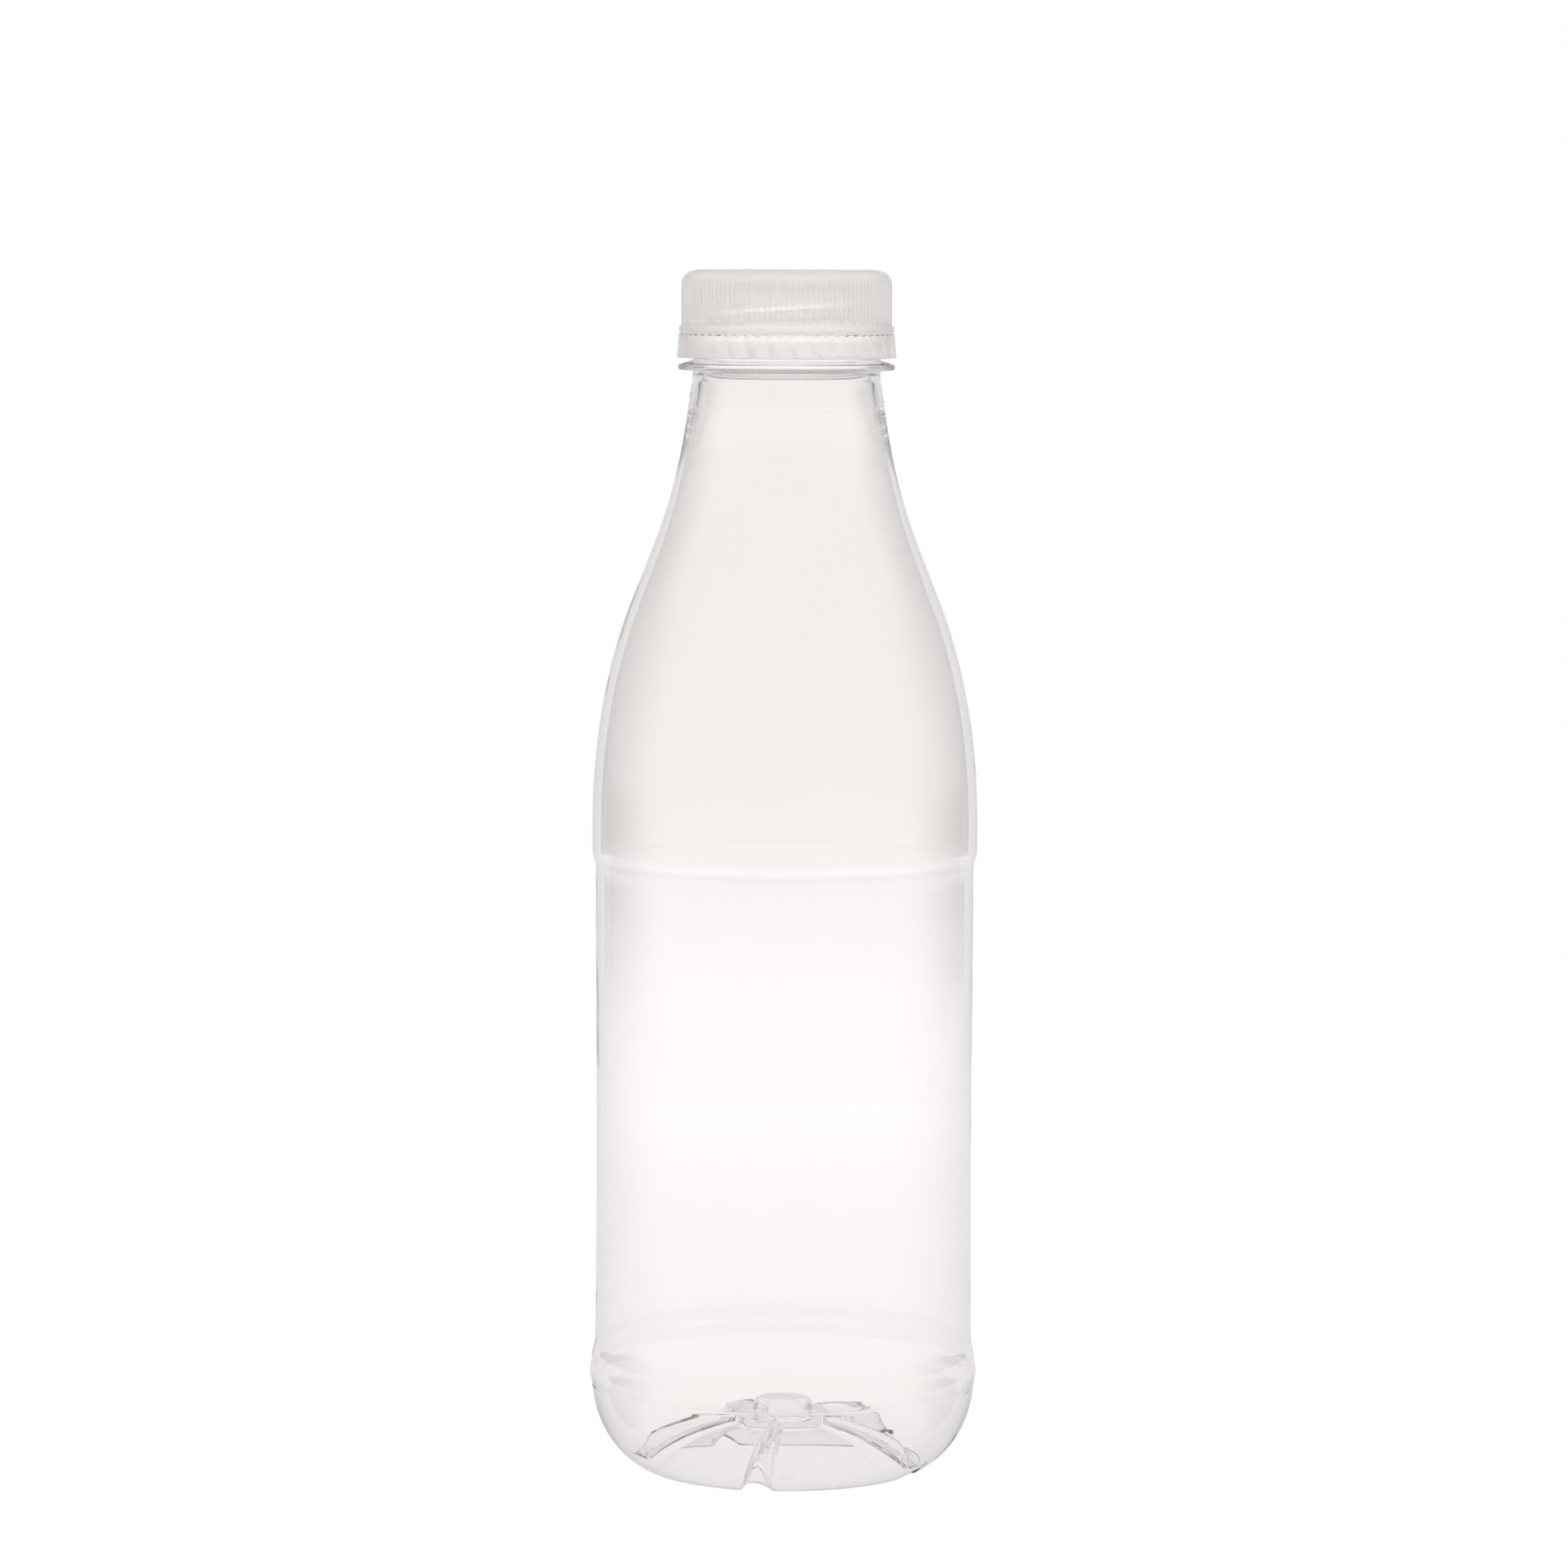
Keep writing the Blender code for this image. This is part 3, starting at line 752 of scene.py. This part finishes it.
def mirrored_level(nodes, place, back, sides, low_sides):
    """How bright the studio looks when mirrored, by the turn round Z from the backdrop behind."""
    split = nodes.add("ShaderNodeSeparateXYZ", {0: place})
    side = nodes.math("ABSOLUTE", split.outputs["X"])
    azimuth = nodes.math("DEGREES", nodes.math("ARCTAN2", side, split.outputs["Y"]))
    panel = nodes.remap(azimuth, BACKDROP_EDGE, back, 0.0)
    side_level = nodes.remap(split.outputs["Z"], LOW_SIDES_SPLIT, low_sides, sides)
    turn = nodes.remap(azimuth, FRONT_EDGE)
    beyond = nodes.add("ShaderNodeMix", {"Factor": turn, "A": side_level, "B": FRONT_MIRRORED})
    return nodes.math("MAXIMUM", panel, beyond.outputs[0])


def shaded(nodes, level, tint):
    """A grey level as a colour with a tint."""
    scale = nodes.add("ShaderNodeVectorMath", {0: tint, "Scale": level}, operation="SCALE")
    return scale.outputs[0]


def seen_by_ray(nodes, straight, level, soft):
    """White for the camera; otherwise what the ray has met on its way picks the light."""
    path = nodes.add("ShaderNodeLightPath").outputs
    reflected = nodes.math("GREATER_THAN", path["Glossy Depth"], 0.5)
    twice = nodes.math("GREATER_THAN", path["Glossy Depth"], 1.5)
    diffused = nodes.math("GREATER_THAN", path["Diffuse Depth"], 0.5)
    mirrored = nodes.mix(twice, shaded(nodes, level, MIRRORED_TINT), TWICE_MIRRORED)
    colour = nodes.mix(reflected, straight, mirrored)
    colour = nodes.mix(diffused, colour, soft)
    return nodes.mix(path["Is Camera Ray"], colour, WHITE)


def make_world():
    """The studio: white for the camera, a pale backdrop behind, darker sides and a soft front."""
    world = bpy.data.worlds.new("studio")
    bpy.context.scene.world = world
    world.use_nodes = True
    tree = world.node_tree
    tree.nodes.clear()
    nodes = Nodes(tree)
    direction = nodes.add("ShaderNodeTexCoord").outputs["Generated"]
    split = nodes.add("ShaderNodeSeparateXYZ", {0: direction}).outputs
    height = split["Z"]

    level = mirrored_level(nodes, direction, BACKDROP_MIRRORED, SIDES_MIRRORED, LOW_SIDES_MIRRORED)
    level = nodes.math("MULTIPLY", level, nodes.remap(height, UPPER_FADE, 1.0, UPPER_SHARE))
    above = nodes.remap(height, OVERHEAD_FADE)
    overhead = {"Factor": above, "A": level, "B": OVERHEAD_MIRRORED}
    level = nodes.add("ShaderNodeMix", overhead).outputs[0]

    straight = nodes.mix(nodes.remap(height, BACKDROP_SPLIT), BACKDROP_LOWER, BACKDROP_UPPER)
    straight = nodes.mix(nodes.remap(height, OVERHEAD_SPLIT), straight, OVERHEAD)
    started = nodes.remap(split["Y"], OFF_AXIS_START)
    beside = nodes.math("MULTIPLY", started, nodes.remap(split["Y"], OFF_AXIS_END))
    straight = nodes.mix(beside, straight, OFF_AXIS)

    lean = {0: direction, 1: SOFT_LIGHT_LEAN}
    lean = nodes.add("ShaderNodeVectorMath", lean, operation="DOT_PRODUCT").outputs["Value"]
    soft = shaded(nodes, nodes.math("ADD", lean, SOFT_LIGHT), SOFT_TINT)

    colour = seen_by_ray(nodes, straight, level, soft)
    background = nodes.add("ShaderNodeBackground", {"Color": colour})
    nodes.add("ShaderNodeOutputWorld", {"Surface": background.outputs[0]})


def make_table():
    """A glowing table top, white for the camera to meet the white background; for other rays its
    glow carries a painted shadow near and under the bottle.
    """
    mesh = bpy.data.meshes.new("table_top")
    h = TABLE_HALF_WIDTH
    mesh.from_pydata([(-h, -h, 0), (h, -h, 0), (h, h, 0), (-h, h, 0)], [], [(0, 1, 2, 3)])
    table = bpy.data.objects.new("table_top", mesh)
    bpy.context.scene.collection.objects.link(table)
    material, nodes, shader = new_material("table_glow_painted_shadow")
    place = nodes.add("ShaderNodeTexCoord").outputs["Object"]
    away = nodes.add("ShaderNodeVectorMath", {0: place}, operation="LENGTH").outputs["Value"]

    sides = TABLE_SIDES_PAINTED_SHADE
    # Painted reflection shade: mirrored in the bottle, the table's glow is darker at its sides and
    # near the bottle
    level = mirrored_level(nodes, place, TABLE_BACK_MIRRORED, sides, sides)
    level = nodes.math("MULTIPLY", level, nodes.remap(away, NEAR_MIRRORED_SHADE_EDGE, TABLE_NEAR_MIRRORED_SHADE, 1.0))

    # Painted shadow: seen through the bottle, the table's glow is darker under and near the bottle
    # and brighter far off
    straight = nodes.mix(nodes.remap(away, TABLE_SPAN, kind="LINEAR"), TABLE_NEAR_PAINTED_SHADOW, TABLE_FAR)
    straight = nodes.mix(nodes.remap(away, TABLE_END_SPAN, kind="LINEAR"), straight, TABLE_END)
    straight = nodes.mix(nodes.remap(away, UNDER_BOTTLE_SHADOW_EDGE), UNDER_BOTTLE_PAINTED_SHADOW, straight)

    # Painted light: the camera sees plain white, while diffuse rays see the table glow brighter
    # than white, lighting the closure from below
    colour = seen_by_ray(nodes, straight, level, TABLE_GLOW_LIGHT)
    nodes.tree.links.new(colour, shader.inputs["Emission Color"])
    shader.inputs["Base Color"].default_value = TABLE_COLOUR
    shader.inputs["Roughness"].default_value = 1.0
    shader.inputs["Specular IOR Level"].default_value = 0.0
    shader.inputs["Emission Strength"].default_value = 1.0
    mesh.materials.append(material)


def make_camera():
    """The camera at the photo's angle, a little above the cap's top and tilted down."""
    data = bpy.data.cameras.new("camera")
    data.lens = LENS
    data.sensor_width = SENSOR_WIDTH
    data.clip_start = NEAREST
    data.clip_end = FARTHEST
    camera = bpy.data.objects.new("camera", data)
    bpy.context.scene.collection.objects.link(camera)
    place = Matrix.Translation((CAMERA_X, -CAMERA_DISTANCE, CAMERA_HEIGHT))
    pitch = Matrix.Rotation(math.radians(90 - CAMERA_PITCH), 4, "X")
    roll = Matrix.Rotation(math.radians(CAMERA_ROLL), 4, "Z")
    camera.matrix_world = place @ pitch @ roll
    bpy.context.scene.camera = camera


make_camera()
make_world()
make_table()
pet = pet_material()
closure = closure_material()
dress(make_bottle(), pet, "bottle")
dress(make_cap(), closure, "cap")
dress(make_band(), closure, "tamper_band")

scene = bpy.context.scene
scene.view_settings.view_transform = "Standard"
scene.cycles.max_bounces = MOST_BOUNCES
scene.cycles.transmission_bounces = MOST_BOUNCES
scene.cycles.glossy_bounces = GLOSSY_BOUNCES
scene.cycles.diffuse_bounces = DIFFUSE_BOUNCES
